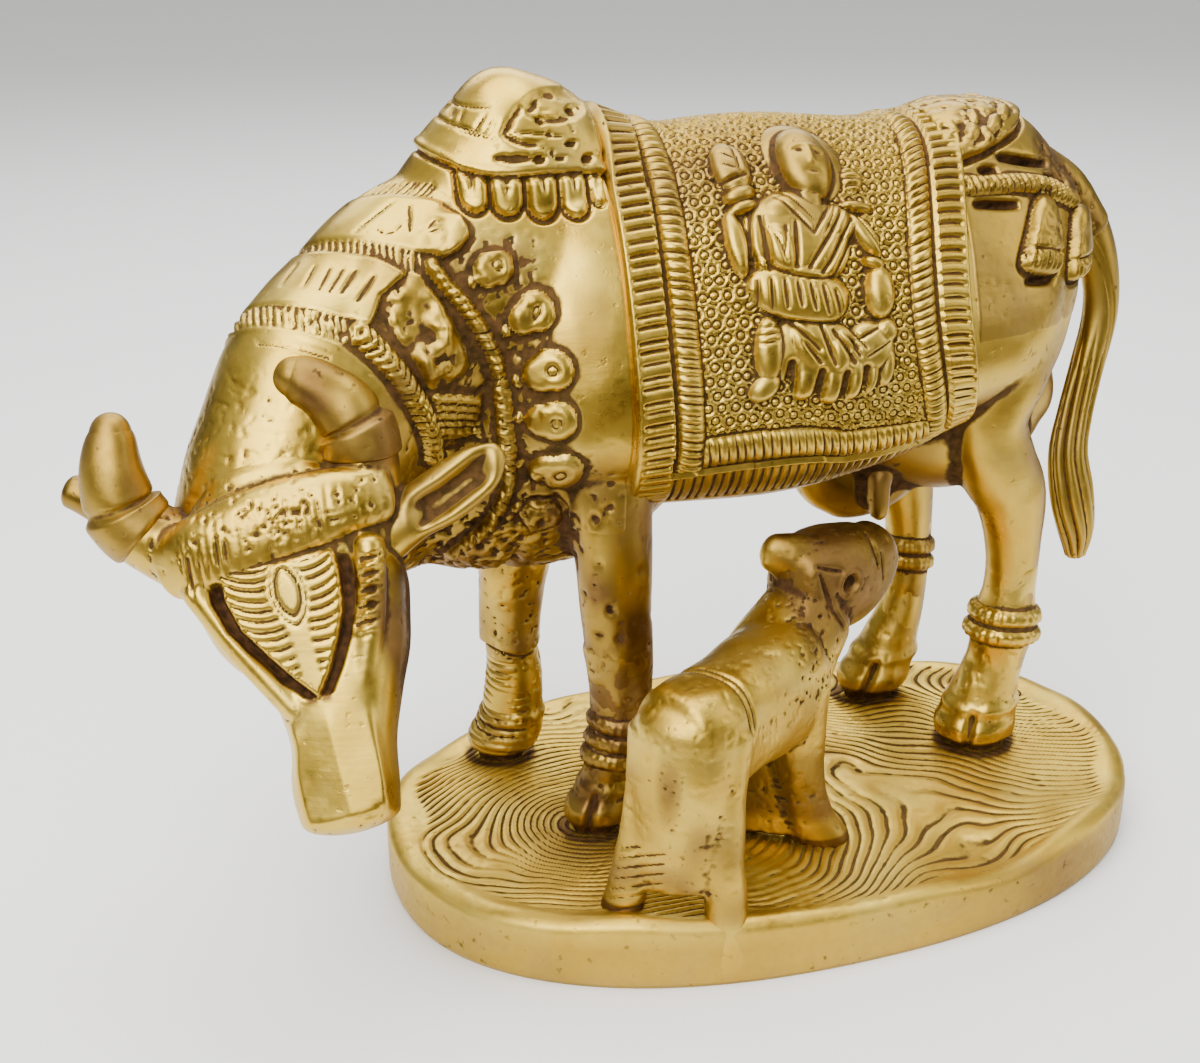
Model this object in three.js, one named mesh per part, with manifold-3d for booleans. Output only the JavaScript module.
// Brass cow with a suckling calf on an oval base, cast as one solid piece.
// Lengths are in mm, +Z is up, and X runs along the cow with its head toward -X.
// The origin is the middle of the base's flat underside, and the side shown off faces -Y.
import * as THREE from 'three';
import { LoftGeometry } from 'three/addons/geometries/LoftGeometry.js';
import { mergeVertices } from 'three/addons/utils/BufferGeometryUtils.js';
import Module from 'manifold-3d';

const wasm = await Module();
wasm.setup();

const BASE_LENGTH = 117;
const BASE_WIDTH = 74;
const RIM_HEIGHT = 9.5;
const COW_LINE = 8; // the cow stands this far behind the base's long axis, to leave room for the calf
const BACK_HEIGHT = 110;
const HUMP_HEIGHT = 119;
const HOOF_LEVEL = 9; // hooves and legs run this low, inside the base's top

const SUNK = 0.8; // how far an ornament's edge runs under the surface it lies on

const UP = [0, 0, 1];
const AHEAD = [1, 0, 0];
const ASIDE = [0, 1, 0];

/** Closed three.js geometry as a solid that can be joined and cut. */
function solidOf(geometry) {
  const plain = new THREE.BufferGeometry().copy(geometry);
  plain.deleteAttribute('normal');
  plain.deleteAttribute('uv');
  const merged = mergeVertices(plain, 1e-4);
  return new wasm.Manifold(new wasm.Mesh({
    numProp: 3,
    vertProperties: new Float32Array(merged.getAttribute('position').array),
    triVerts: new Uint32Array(merged.getIndex().array),
  }));
}

const join = (solids) => wasm.Manifold.union(solids);

/** Part of a solid on the side of a plane that its normal points to. */
function keep(solid, normal, point) {
  const direction = new THREE.Vector3(...normal).normalize();
  return solid.trimByPlane(direction.toArray(), direction.dot(new THREE.Vector3(...point)));
}

/** Catmull-Rom row of numbers at t, counted in stations along the list. */
function rowAt(stations, t) {
  const i = Math.min(Math.floor(t), stations.length - 2);
  const [a, b, c, d] = [i - 1, i, i + 1, i + 2].map(
    (n) => stations[Math.min(Math.max(n, 0), stations.length - 1)]);
  const s = t - i;
  return b.map((_, n) => 0.5 * (2 * b[n] + (c[n] - a[n]) * s
    + (2 * a[n] - 5 * b[n] + 4 * c[n] - d[n]) * s * s + (3 * b[n] - a[n] - 3 * c[n] + d[n]) * s ** 3));
}

/** Ring of points round a row [x, y, z, half across, half up, lean], square to its direction. */
function ringAt(row, along, { up, sides, square, sag }) {
  const across = new THREE.Vector3(...up).cross(along).normalize();
  const rise = along.clone().cross(across);
  const round = (v) => Math.sign(v) * Math.abs(v) ** (2 / square);
  return Array.from({ length: sides }, (_, k) => {
    const angle = (k / sides) * 2 * Math.PI;
    const height = round(Math.sin(angle));
    const width = round(Math.cos(angle)) * (1 - sag * height);
    const point = new THREE.Vector3(row[0], row[1], row[2])
      .addScaledVector(across, width * row[3]).addScaledVector(rise, height * row[4]);
    point.x += (row[5] ?? 0) * (point.z - row[2]);
    return point;
  });
}

/**
 * Limb swept through stations [x, y, z, half across, half up] and, where a ring tips forward with
 * height, its lean.
 * Square 2 is an ellipse and higher is boxier, sag widens the lower half, and lift swells the
 * whole limb. Blunt domes each end out by that share of its smaller half-size, and 0 is flat.
 */
function sweep(stations, options = {}) {
  const shape = { up: UP, sides: 8, steps: 1, square: 2, sag: 0, lift: 0, blunt: 0, ...options };
  const count = (stations.length - 1) * shape.steps;
  const rows = Array.from({ length: count + 1 }, (_, i) => rowAt(stations, i / shape.steps));
  const place = (row) => new THREE.Vector3(row[0], row[1], row[2]);
  const sections = rows.map((row, i) => {
    const along = place(rows[Math.min(i + 1, count)]).sub(place(rows[Math.max(i - 1, 0)])).normalize();
    return { row: swollen(row, shape.lift), along };
  });
  const dome = ({ row, along }, way, share) => {
    const reach = way * share * shape.blunt * Math.min(row[3], row[4]);
    const centre = place(row).addScaledVector(along, reach);
    const girth = Math.sqrt(1 - share ** 2);
    return { row: [...centre.toArray(), row[3] * girth, row[4] * girth], along };
  };
  if (shape.blunt > 0) {
    const [first, last] = [sections[0], sections[sections.length - 1]];
    sections.unshift(dome(first, -1, 0.96), dome(first, -1, 0.7));
    sections.push(dome(last, 1, 0.7), dome(last, 1, 0.96));
  }
  const rings = sections.map(({ row, along }) => ringAt(row, along, shape));
  return solidOf(new LoftGeometry(rings, { capStart: true, capEnd: true }));
}

const swollen = ([x, y, z, wide, high, lean = 0], lift) => [x, y, z, wide + lift, high + lift, lean];

/** Raised sleeve round a limb between two places counted in stations along it. */
function sleeve(stations, from, to, lift, options = {}) {
  const edge = (to - from) * 0.15;
  const rows = [[from, -SUNK], [from + edge, lift], [to - edge, lift], [to, -SUNK]].map(
    ([t, rise]) => swollen(rowAt(stations, t), rise));
  return sweep(rows, options);
}

/** Three.js shape turned so that its own z runs along a direction, and moved to its place. */
function placed(geometry, centre, out = new THREE.Vector3(...UP)) {
  const turn = new THREE.Matrix4().lookAt(out, new THREE.Vector3(), new THREE.Vector3(...UP));
  return solidOf(geometry.applyMatrix4(turn).translate(...centre));
}

/** Round lump with half-sizes across, up and out. */
const lump = (centre, halves, out) => placed(
  new THREE.SphereGeometry(1, 6, 5).scale(...halves), centre, out);

/** Low round boss with a bevelled edge, its height measured from its middle. */
const boss = (centre, radius, height, out, sides = 8) => placed(
  new THREE.CylinderGeometry(radius * 0.72, radius, 2 * height, sides).rotateX(Math.PI / 2), centre, out);

// Trunk: a barrel widest low on the flank, the zebu's hump over the shoulders, and the chest.
const BARREL = [
  [-47, COW_LINE, 86, 10, 15], [-41, COW_LINE, 85.5, 15.5, 20], [-31, COW_LINE, 85, 19.5, 24],
  [-16, COW_LINE, 84.7, 21.2, BACK_HEIGHT - 84.9], [-1, COW_LINE, 84.8, 22.3, BACK_HEIGHT - 84.6],
  [14, COW_LINE, 85.3, 22, BACK_HEIGHT - 86.6], [24, COW_LINE, 87, 20.5, BACK_HEIGHT - 88.2],
  [33, COW_LINE, 89, 18.5, BACK_HEIGHT - 88.2], [40, COW_LINE, 90.5, 15.5, 19.3], [46, COW_LINE, 91.5, 10, 14],
];
const HUMP = [
  [-53, COW_LINE - 0.5, 95, 6, 6], [-47, COW_LINE, 99, 8.5, 9.5], [-42, COW_LINE, 102, 10, 12.5],
  [-36, COW_LINE, 104.3, 10.5, HUMP_HEIGHT - 104.5], [-31, COW_LINE, 103.5, 10.3, 13.8],
  [-25.5, COW_LINE, 101, 10, 12], [-17, COW_LINE, 97, 9, 12.8],
];
const CHEST = [
  [-18, COW_LINE, 74, 13, 16], [-30, COW_LINE, 69, 15, 19.5], [-41, COW_LINE, 68, 14, 19],
  [-50, COW_LINE - 1, 68, 11, 16.5], [-57, COW_LINE - 4, 69, 8.5, 13],
];
const BARREL_SHAPE = { sides: 16, square: 2.3, sag: 0.28 };

// Neck: deep at the shoulder, it turns toward the side shown off and drops to the lowered head.
const NECK = [
  [-36, COW_LINE, 90, 16.5, 20.5], [-47, COW_LINE - 0.5, 88.5, 15, 19.5], [-57, COW_LINE - 3, 83.5, 14, 18],
  [-65, COW_LINE - 7, 77.5, 13, 17.5], [-72.5, COW_LINE - 12, 70, 12.3, 13.6], [-76, COW_LINE - 16, 64, 12, 11],
];
const DEWLAP = [
  [-44, COW_LINE - 1, 64, 7, 12], [-54, COW_LINE - 4, 63, 6, 11], [-63, COW_LINE - 9, 61, 5, 9],
  [-70, COW_LINE - 14, 58, 4.5, 7],
];

const barrel = sweep(BARREL, { ...BARREL_SHAPE, blunt: 0.4 });
const shoulders = (lift) => join([
  sweep(BARREL.slice(0, 4), { ...BARREL_SHAPE, lift }), sweep(CHEST, { sides: 9, lift }),
  sweep(NECK, { sides: 10, lift })]);
const bareBody = join([barrel, sweep(HUMP, { sides: 10 }), shoulders(0), sweep(DEWLAP, { sides: 6 })]);

/** Three.js mesh of a solid, one flat facet a triangle. */
function meshOf(solid, material) {
  const { vertProperties, triVerts } = solid.getMesh();
  const geometry = new THREE.BufferGeometry();
  geometry.setAttribute('position', new THREE.BufferAttribute(vertProperties, 3));
  geometry.setIndex(new THREE.BufferAttribute(triVerts, 1));
  return new THREE.Mesh(geometry, material);
}

/** Place on the cow's side at x and z, and the direction straight out there. Side -1 is the near one. */
const bareSkin = meshOf(bareBody, new THREE.MeshStandardMaterial({ side: THREE.DoubleSide }));
function onSide(x, z, side) {
  const from = new THREE.Vector3(x, COW_LINE + 60 * side, z);
  const [hit] = new THREE.Raycaster(from, new THREE.Vector3(0, -side, 0)).intersectObject(bareSkin);
  return { at: hit.point, out: hit.face.normal };
}

/** Boss laid on the cow's side, sunk to its waist. */
function bossOn(x, z, side, radius, height, sides) {
  const { at, out } = onSide(x, z, side);
  return boss(at.toArray(), radius, height, out, sides);
}

// Saddle cloth: a thin sheet from hem to hem, with a wide ribbed border and a narrower one inside it.
const CLOTH = { front: -26, back: 24.5, lean: 0.13, hem: 61, sheet: 0.6, wide: 4.8, gap: 0.7, narrow: 4.2 };

/** Where a limb's path passes x, counted in stations. */
function stationAtX(stations, x) {
  const i = stations.findIndex((row) => row[0] > x) - 1;
  return i + (x - stations[i][0]) / (stations[i + 1][0] - stations[i][0]);
}

function saddleCloth() {
  const { front, back, lean, hem, sheet, wide, gap, narrow } = CLOTH;
  const inner = wide + gap;
  const border = [
    [0, -SUNK], [0.3, 1.5], [wide - 0.3, 1.5], [wide + gap / 2, 0.3], [inner + 0.3, 1.1],
    [inner + narrow, 1.1], [inner + narrow + 0.3, sheet]];
  const rowAtX = (x, lift, tip) => swollen([...rowAt(BARREL, stationAtX(BARREL, x)), tip], lift);
  const cloth = sweep([
    ...border.map(([inset, lift]) => rowAtX(front + inset, lift, 0)), rowAtX(-1, sheet, lean / 2),
    ...border.map(([inset, lift]) => rowAtX(back - inset, lift, lean)).reverse()], BARREL_SHAPE);
  const hemBand = (from, width, lift) => {
    const strip = [front + from + 0.3, -16, -1, 12, back - from - 0.3].map(
      (x, i) => rowAtX(x, lift, (lean * i) / 4));
    return keep(keep(sweep(strip, BARREL_SHAPE), UP, [0, 0, hem + from]),
      [0, 0, -1], [0, 0, hem + from + width]);
  };
  const overHump = sleeve(HUMP, stationAtX(HUMP, front), stationAtX(HUMP, front + wide), 1.5, { sides: 10 });
  return join([keep(cloth, UP, [0, 0, hem]), hemBand(0, wide, 1.6), hemBand(inner, narrow, 1.2), overHump]);
}

// Seated figure in relief on the near side of the cloth: x and z of each part's middle, and half-sizes.
const FIGURE_X = -1.2;

function seatedFigure() {
  const near = (x, z, halves, proud = 0.4) => {
    const { at, out } = onSide(FIGURE_X + x, z, -1);
    return lump(at.addScaledVector(out, proud).toArray(), halves, out);
  };
  const arms = [-1, 1].flatMap((way) => [
    near(6.4 * way, 96.8, [2.3, 3.4, 1.8]), near(8.2 * way, 102, [1.7, 2.6, 1.5])]);
  return join([
    near(0, 103.2, [3.3, 3.9, 2.8], 0.8), near(0, 94.5, [5.2, 6, 2.6]), ...arms,
    near(-4, 86.6, [5.2, 3, 2.6]), near(5.2, 86.6, [5.4, 3, 2.6]),
    near(-3.4, 80.2, [2.4, 4.6, 2]), near(6.4, 80, [5.2, 4.2, 1.8])]);
}

// Hump cover: a smooth cap with a moulded edge over a fringe of hanging lobes, six to a side.
const COVER_EDGE = 105;
const LOBES = 6;

function humpCover() {
  const cap = (lift) => keep(sweep(HUMP.slice(0, 6), { sides: 10, lift }), UP, [0, 0, COVER_EDGE]);
  const moulding = keep(cap(1.6), [0, 0, -1], [0, 0, COVER_EDGE + 1.8]);
  const lobes = [-1, 1].flatMap((side) => Array.from({ length: LOBES }, (_, k) => bossOn(
    -46 + 3.3 * k, COVER_EDGE - 2.4, side, 2, 0.9, 5)));
  return join([cap(0.8), moulding, ...lobes]);
}

// Collar: a beaded rope from the crest down round the chest, with round pendants hanging behind it.
const ROPE = { top: [-45.5, 0, 92], lean: 0.25, half: 1.5 };
const PENDANTS = 5;

function collar() {
  const { top, lean, half } = ROPE;
  const shift = (by) => [top[0] + by, top[1], top[2]];
  const rope = keep(keep(shoulders(1.3), [1, 0, lean], shift(-half)), [-1, 0, -lean], shift(half));
  const pendants = [-1, 1].flatMap((side) => Array.from({ length: PENDANTS }, (_, k) => {
    const [x, z] = [-42.2 + 1.9 * k, 96.2 - 6.8 * k];
    return bossOn(x, z, side, 3.2, 1.2, 6);
  }));
  const garland = [0, 1, 2].map((k) => bossOn(-50 + 0.8 * k, 97 - 6.4 * k, -1, 2.9, 1.5, 6));
  return join([rope, ...pendants, ...garland]);
}

// Head: it faces the viewer, lowered and rolled a little, with HEAD_AXES as down the face, across, and out.
const HEAD_AXES = [[0.106, -0.441, -0.891], [0.943, -0.239, 0.23], [-0.315, -0.865, 0.391]];
const BROW = [-77.3, COW_LINE - 28, 69.4]; // on the forehead between the horns
const inHead = (stations) => stations.map(([down, across, out, ...girth]) => [
  ...BROW.map((v, n) => v + HEAD_AXES[0][n] * down + HEAD_AXES[1][n] * across + HEAD_AXES[2][n] * out),
  ...girth]);
const HORN_NEAR = inHead([
  [-1, 11, -8, 5.6, 5.2], [-5.7, 12.4, -7, 4.9, 4.7], [-10.6, 13, -5.5, 4.6, 4.6], [-14.8, 12.3, -4.5, 4.2, 4.1],
  [-18, 9.2, -3.5, 3.1, 3.1], [-20, 6, -3, 1.3, 1.3]]);
const HORN_FAR = inHead([
  [0, -9, -8, 5.4, 5.2], [-3.2, -14, -7.5, 4.9, 4.7], [-7, -17.6, -6.5, 4.7, 4.7], [-11, -18.2, -5.5, 4.5, 4.3],
  [-15.5, -17.4, -4.5, 3.6, 3.5], [-19, -16, -4, 1.5, 1.5]]);

function head() {
  const [down, across, out] = HEAD_AXES;
  const skull = sweep(inHead([
    [-9, 0, -9, 8, 7.5], [-4, 0.2, -9.6, 13, 9.6], [1, 0.4, -10.3, 14.6, 10.3], [6, 0.8, -10.3, 13.4, 10.3],
    [11, 1.8, -9.8, 12.6, 9.8], [16, 2.5, -9, 10.4, 9], [21, 2.4, -8, 8.1, 8], [27, 1.6, -7, 6.6, 7],
    [32, 0.6, -6.5, 6.7, 6.5], [36, 0.3, -6, 6.3, 5.8]]), { up: out, sides: 9, square: 2.7, blunt: 0.4 });
  const ears = [
    [[3, 13, -9, 3.6, 3.4], [1.2, 17, -8, 3.2, 3.4], [-0.3, 21.7, -7, 2.2, 3.6], [-2.3, 26.7, -7, 1.6, 3.2],
      [-3.9, 30, -7.5, 1, 1.2]],
    [[0, -12, -12, 3.4, 3.2], [-7, -19, -13.5, 2.6, 2.8], [-11.5, -23.5, -13.5, 2.5, 2.5],
      [-13, -25.5, -13.5, 2.2, 2.2]],
  ].map((rows) => sweep(inHead(rows), { up: down, sides: 6, blunt: 0.5 }));
  const horns = [HORN_NEAR, HORN_FAR].flatMap((horn) => [
    sweep(horn, { up: out, sides: 6, blunt: 0.5 }), sleeve(horn, 1.5, 2.1, 0.6, { up: out, sides: 6 })]);
  const browBand = sweep(inHead([
    [1.4, -12, -3.6, 1.6, 1.9], [1.2, -9, -1, 1.7, 2.1], [0.8, 0, 0, 1.8, 2.2], [0.2, 9, -0.6, 1.7, 2.1],
    [-0.2, 13, -3.4, 1.6, 1.9],
  ]), { up: out, sides: 6 });
  const plate = sweep(inHead([
    [3, 0, 0.1, 7.6, 1], [7, -0.2, 0.1, 6.8, 1], [14, 0.4, 0, 3.9, 1], [19.5, 0.8, -0.4, 1, 0.8],
  ]), { up: out, sides: 6, square: 3 });
  const cheeks = [[[5, -10.8], [13, -6.4], [21, -1.8]], [[3, 12.4], [12, 11], [22, 6]]].map((line) => sweep(
    inHead(line.map(([a, l]) => [a, l, -1.6 - 0.06 * a, 1.7, 1.9])), { up: out, sides: 5 }));
  const eyes = [-12.6, 14.6].map((l) => {
    const [place] = inHead([[8, l, -8]]);
    return boss(place, 2.2, 1.2, new THREE.Vector3(...across), 6);
  });
  return [skull, ...ears, ...horns, browBand, plate, ...cheeks, ...eyes];
}

// Legs: stations from inside the body down into the base, with ribbed anklets above the hooves.
const FORE_NEAR = [
  [-28, 0, 84, 9, 10], [-27, -2.5, 74, 7.5, 8.5], [-27, -5, 62, 5.4, 6.2], [-26.5, -5.5, 48, 4.8, 5.4],
  [-25.7, -5.5, 35, 4.6, 4.8], [-26, -5.5, 27, 3.8, 3.9], [-27.5, -5, 17.5, 3.8, 3.9],
  [-29.5, -5, HOOF_LEVEL, 4.5, 4.8]];
const FORE_FAR = [
  [-34, 15, 76, 9, 10], [-34, 18, 66, 7, 8], [-33, 19.5, 53.5, 5.6, 6.2], [-33.5, 20.5, 42, 4.2, 4.5],
  [-34, 21, 32, 3.6, 3.9], [-33.5, 21, 24, 4, 4.4], [-34, 21, 17, 4.5, 4.9], [-36, 21, HOOF_LEVEL, 4.7, 5]];
const HIND_NEAR = [
  [35, 4, 95, 10, 14], [36.5, 0, 84, 8.5, 11], [34, -4, 74, 6.5, 8], [32.7, -4.5, 66, 5.2, 6],
  [35, -4, 59, 4.9, 6.2], [38.3, -3.5, 53, 4.5, 5.6], [40, -2.6, 44, 3.9, 4.4], [40.3, -2, 36.5, 4, 4.1],
  [40, -1.7, 31, 4.9, 5.4], [39.3, -1.4, 25, 4.3, 4.5], [37.5, -1, 17, 5.2, 5.7], [36.7, -1, HOOF_LEVEL, 5.6, 6]];
const HIND_FAR = [
  [33, 14, 88, 9, 13], [33, 18, 74, 8, 10], [31.5, 20, 62, 6, 7.5], [32, 20, 54, 4.6, 5.6],
  [33.5, 20, 46, 4, 4.6], [34.5, 20, 36, 3.4, 3.6], [34, 20, 26, 3.5, 3.7], [31.5, 20, 18, 4.5, 4.8],
  [28, 20, HOOF_LEVEL, 4.9, 5.3]];

function legs() {
  const shape = { up: AHEAD, sides: 6 };
  const limbs = [FORE_NEAR, FORE_FAR, HIND_NEAR, HIND_FAR].map((leg) => sweep(leg, shape));
  const anklets = [
    [FORE_NEAR, 3.75, 4.1], [FORE_FAR, 3.4, 4.1], [HIND_NEAR, 6.3, 6.85], [HIND_FAR, 4.6, 5.05],
  ].map(([leg, from, to]) => sleeve(leg, from, to, 1, shape));
  return [...limbs, ...anklets];
}

// Tail: it leaves the rump in a bow, touches the hock and ends in a long tuft.
const TAIL = [
  [41, COW_LINE - 1.5, 105, 4, 3.2], [47, COW_LINE - 2, 103, 3.8, 3], [52.5, COW_LINE - 2.6, 96.5, 3.5, 2.8],
  [56, COW_LINE - 3.5, 86.5, 3, 2.5], [56, COW_LINE - 4, 78, 2.8, 2.4], [54, COW_LINE - 5, 70, 2.8, 2.4],
  [52, COW_LINE - 6, 63, 2.9, 2.4], [50.7, COW_LINE - 7, 57, 3.2, 2.7], [51.2, COW_LINE - 8.2, 50.5, 3.6, 3],
  [52.3, COW_LINE - 8.8, 44.5, 3, 2.6], [52.5, COW_LINE - 9, 40.5, 1.8, 1.6]];

function rearTrim() {
  const crupper = [-1, 1].map((side) => {
    const rows = [28, 34, 40, 45].map((x, k) => [...onSide(x, 100.6 - k, side).at.toArray(), 1.4, 1.5]);
    return sweep(rows, { sides: 6, blunt: 0.5 });
  });
  const bells = [-1, 1].flatMap((side) => [
    bossOn(36, 94, side, 3.1, 2.4), bossOn(43.5, 92.5, side, 2.8, 2.2)]);
  return [...crupper, ...bells, lump([33, COW_LINE, BACK_HEIGHT - 0.6], [3.4, 4.5, 1.6], new THREE.Vector3(0.1, 0, 1))];
}

// Calf: it stands across in front of the cow, rump to the viewer's left, and reaches up to the udder.
function calf() {
  const shape = { up: AHEAD, sides: 6 };
  const body = sweep([
    [-29, -29, 39.5, 6, 6.5], [-24, -28.5, 40, 7.5, 7.2], [-17, -25.5, 40.5, 7.3, 7.2], [-10, -21.5, 42, 7.6, 8],
    [-3, -17, 43.5, 7, 8.5], [3, -13, 46, 5.5, 7.5]], { sides: 10, blunt: 0.6 });
  const neck = sweep([[-1, -15, 44, 6, 6], [2, -11.5, 47, 5.2, 5.2], [4, -8.5, 49, 4.8, 4.8]], { up: AHEAD });
  const face = sweep([
    [1.5, -8, 50, 4.6, 5], [6, -7.5, 50, 5.8, 6], [11, -6.5, 50.6, 5.2, 5.2], [16, -5, 51.6, 4, 4],
    [19, -3.5, 52.4, 3.2, 3.2]], { square: 2.4, blunt: 0.5 });
  const ear = sweep([[3, -9.5, 51, 2.4, 2.6], [-1.5, -9.5, 52.4, 2.3, 2.8], [-4, -9.5, 53, 1.6, 2]], { sides: 6, blunt: 0.6 });
  const legSet = [
    [[-21.5, -29, 41, 4.5, 6], [-22, -31.2, 35, 3.6, 5.2], [-22.3, -32, 27, 2.8, 4.4], [-21.6, -32.4, 17, 2.6, 4],
      [-20.4, -32.3, HOOF_LEVEL - 5, 2.8, 5.4]],
    [[-27.5, -26.5, 40, 4, 4.6], [-28.5, -27, 34, 2.8, 3.6], [-30, -26.4, 26, 2.2, 2.7],
      [-31.5, -26, 18, 2.2, 2.6], [-32.7, -26, HOOF_LEVEL, 2.5, 3]],
    [[-5, -20, 42, 5, 6], [-6, -21.5, 34, 3.4, 4.4], [-4.8, -21, 26, 2.8, 3.6], [-3, -20, 19, 2.8, 3.8],
      [0.5, -19.3, 12.5, 3, 4.2], [2, -19, HOOF_LEVEL, 3, 4.2]],
    [[-13.5, -18, 42, 4.5, 5.5], [-13.5, -16.5, 32, 3, 3.8], [-12.5, -16, 22, 2.6, 3.2],
      [-12, -16, HOOF_LEVEL, 2.8, 3.4]],
  ].map((leg) => sweep(leg, shape));
  const webs = [
    [[-26, -30.5, 36, 2.4, 4.5], [-26.4, -30.8, 26, 1.8, 4.4], [-26.8, -30.8, 17.5, 1.6, 5]],
    [[-9.5, -19, 30, 2.4, 5], [-7, -18.5, 23, 2.2, 5.5], [-4, -18.5, 17.5, 1.8, 4.5]],
  ].map((web) => sweep(web, { ...shape, blunt: 0.8 }));
  return [body, neck, face, ear, ...legSet, ...webs];
}

function udder() {
  return [
    sweep([[18, COW_LINE, 68, 8, 13], [18.5, COW_LINE, 58, 7.5, 12], [20, COW_LINE - 1, 53, 6, 8.5]],
      { up: AHEAD, blunt: 0.5 }),
    sweep([[20, COW_LINE, 70, 14, 13], [32, COW_LINE, 66.5, 13.5, 14], [41, COW_LINE, 70, 11, 10]], { square: 2.4 }),
    sweep([[17.5, COW_LINE - 8, 58, 2, 2], [17.5, COW_LINE - 8.5, 51.5, 1.6, 1.6]],
      { up: AHEAD, sides: 6, blunt: 0.6 }),
  ];
}

// Base: an oval slab with a hand-ground rim and low swirling ridges on its top.
const RINGS = 5;
const RIM_SIDES = 32;

function base() {
  const oval = (share, height) => Array.from({ length: RIM_SIDES }, (_, k) => {
    const angle = (k / RIM_SIDES) * 2 * Math.PI;
    const round = (v) => Math.sign(v) * Math.abs(v) ** (2 / 2.25);
    return new THREE.Vector3((BASE_LENGTH / 2) * share * round(Math.cos(angle)),
      (BASE_WIDTH / 2) * share * round(Math.sin(angle)), height(angle));
  });
  const rim = (angle) => RIM_HEIGHT + 0.6 * Math.sin(3 * angle + 1) + 0.4 * Math.sin(5 * angle);
  const top = Array.from({ length: RINGS }, (_, i) => {
    const share = 0.95 - (0.75 * i) / (RINGS - 1);
    const ridge = i % 2 === 0 ? 0.45 : -0.15;
    const blend = i === RINGS - 1 ? 0 : share ** 2;
    return oval(share, (angle) => rim(angle) * blend + (RIM_HEIGHT + 1) * (1 - blend) + ridge);
  });
  return solidOf(new LoftGeometry(
    [oval(0.985, () => 0), oval(1, () => 1.2), oval(1, (angle) => rim(angle) - 0.8), ...top],
    { capStart: true, capEnd: true }));
}

const brass = new THREE.MeshStandardMaterial({
  color: 0xb8953f, metalness: 0.9, roughness: 0.35, flatShading: true });
const casting = meshOf(join([
  bareBody, saddleCloth(), seatedFigure(), humpCover(), collar(),
  sleeve(NECK, 1.5, 1.72, 0.5, { sides: 10 }), sleeve(NECK, 2.6, 2.85, 0.5, { sides: 10 }),
  ...head(), ...legs(), sweep(TAIL, { up: ASIDE, sides: 7, blunt: 0.6 }), ...rearTrim(),
  ...udder(), ...calf(), base(),
]), brass);
casting.name = 'cow_and_calf_casting';

const statue = new THREE.Group();
statue.add(casting);
export default statue;
